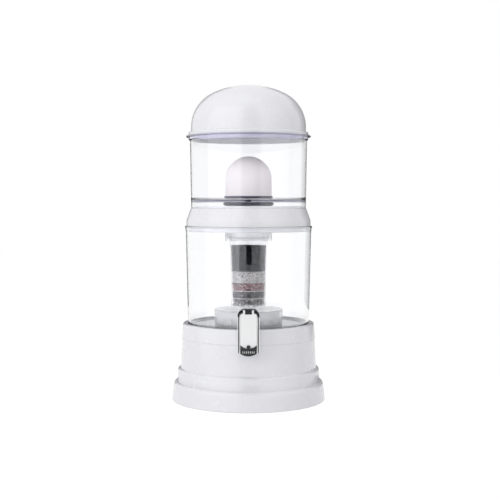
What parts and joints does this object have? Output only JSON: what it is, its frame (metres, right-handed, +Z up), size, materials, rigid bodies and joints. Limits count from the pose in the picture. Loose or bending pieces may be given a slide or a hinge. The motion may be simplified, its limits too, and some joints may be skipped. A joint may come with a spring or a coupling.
{
  "type": "gravity water filter dispenser",
  "caption": "Countertop gravity water filter: clear upper and lower tanks, ceramic dome, layered mineral cartridge, stone case, push tap, domed lid and stepped stand.",
  "frame": {"origin": "centre of the stand's foot, on the floor", "axes": "+Z up along the tanks' axis, +X across, -Y the way the tap faces"},
  "size_m": [0.301, 0.308, 0.619],
  "materials": {
    "white_plastic": "glossy moulded white",
    "clear_plastic": "clear, polished",
    "lever_plastic": "glossy moulded white",
    "nut_plastic": "satin moulded white",
    "black_plastic": "satin black",
    "black_rubber": "fine matte",
    "silicone": "satin, slightly see-through",
    "slate_plastic": "satin slate",
    "slate_rubber": "fine matte slate",
    "tap_chrome": "polished",
    "pin_steel": "fine brushed",
    "ceramic_white": "unglazed, fine pores",
    "stones": "worn smooth",
    "mineral_sand": "fine grains",
    "tourmaline": "small dark balls",
    "red_balls": "small fired balls",
    "silica_sand": "coarse pale grains",
    "carbon": "black granules",
    "felt": "white felt"
  },
  "bodies": {
    "base": {"base_shell": "white_plastic"},
    "lower_tank": {"lower_tank": "clear_plastic", "stone_case": "clear_plastic", "stone_case_lid": "clear_plastic", "mineral_stones": "stones", "tap_body": "tap_chrome", "tap_outer_gasket": "silicone", "tap_inner_gasket": "silicone", "tap_nut": "nut_plastic", "lever_pin": "pin_steel", "hinge_barrel": "black_plastic", "rod_ring": "black_rubber", "valve_spring": "pin_steel", "inlet_strainer": "nut_plastic"},
    "collar": {"collar": "white_plastic"},
    "upper_tank": {"upper_tank": "clear_plastic", "ceramic_dome": "ceramic_white", "dome_base_plate": "slate_plastic", "dome_gasket": "slate_rubber", "holder_gasket": "slate_rubber", "cartridge_holder": "clear_plastic", "wing_nut": "nut_plastic"},
    "neck_ring": {"neck_ring": "silicone"},
    "cartridge": {"cartridge_body": "clear_plastic", "cartridge_strainer": "nut_plastic", "layer_mineral_sand": "mineral_sand", "layer_tourmaline": "tourmaline", "layer_red_balls": "red_balls", "layer_silica_sand": "silica_sand", "layer_carbon": "carbon", "pad_lowest": "felt", "pad_lower": "felt", "pad_upper": "felt", "pad_highest": "felt"},
    "lid": {"lid": "white_plastic"},
    "lever": {"tap_lever": "lever_plastic", "lever_grip": "black_rubber"},
    "plunger": {"valve_plunger": "nut_plastic", "valve_seal": "black_rubber"}
  },
  "joints": [
    {"name": "tank_lift", "type": "slide", "parent": "base", "child": "lower_tank", "axis": [0, 0, 1], "range_m": [0, 0.06]},
    {"name": "collar_lift", "type": "slide", "parent": "lower_tank", "child": "collar", "axis": [0, 0, 1], "range_m": [0, 0.06]},
    {"name": "upper_tank_lift", "type": "slide", "parent": "collar", "child": "upper_tank", "axis": [0, 0, 1], "range_m": [0, 0.22]},
    {"name": "lid_lift", "type": "slide", "parent": "upper_tank", "child": "lid", "axis": [0, 0, 1], "range_m": [0, 0.12]},
    {"name": "cartridge_drop", "type": "slide", "parent": "upper_tank", "child": "neck_ring", "axis": [0, 0, -1], "range_m": [0, 0.0061]},
    {"name": "cartridge_turn", "type": "hinge", "parent": "neck_ring", "child": "cartridge", "pos_m": [0, 0, 0.34], "axis": [0, 0, -1], "range_deg": [0, 720]},
    {"name": "lever_push", "type": "hinge", "parent": "lower_tank", "child": "lever", "pos_m": [0, -0.1515, 0.1862], "axis": [1, 0, 0], "range_deg": [0, 6], "stiffness_Nm_per_rad": 0.6, "springref_deg": -8.59},
    {"name": "plunger_stroke", "type": "slide", "parent": "lower_tank", "child": "plunger", "axis": [0, 1, 0], "range_m": [0, 0.0018], "deforming": ["valve_spring"]}
  ],
  "couplings": [
    {"joint": "cartridge_drop", "follows": "cartridge_turn", "m_per_rad": 0.00047746},
    {"joint": "plunger_stroke", "follows": "lever_push", "m_per_rad": 0.0162}
  ]
}
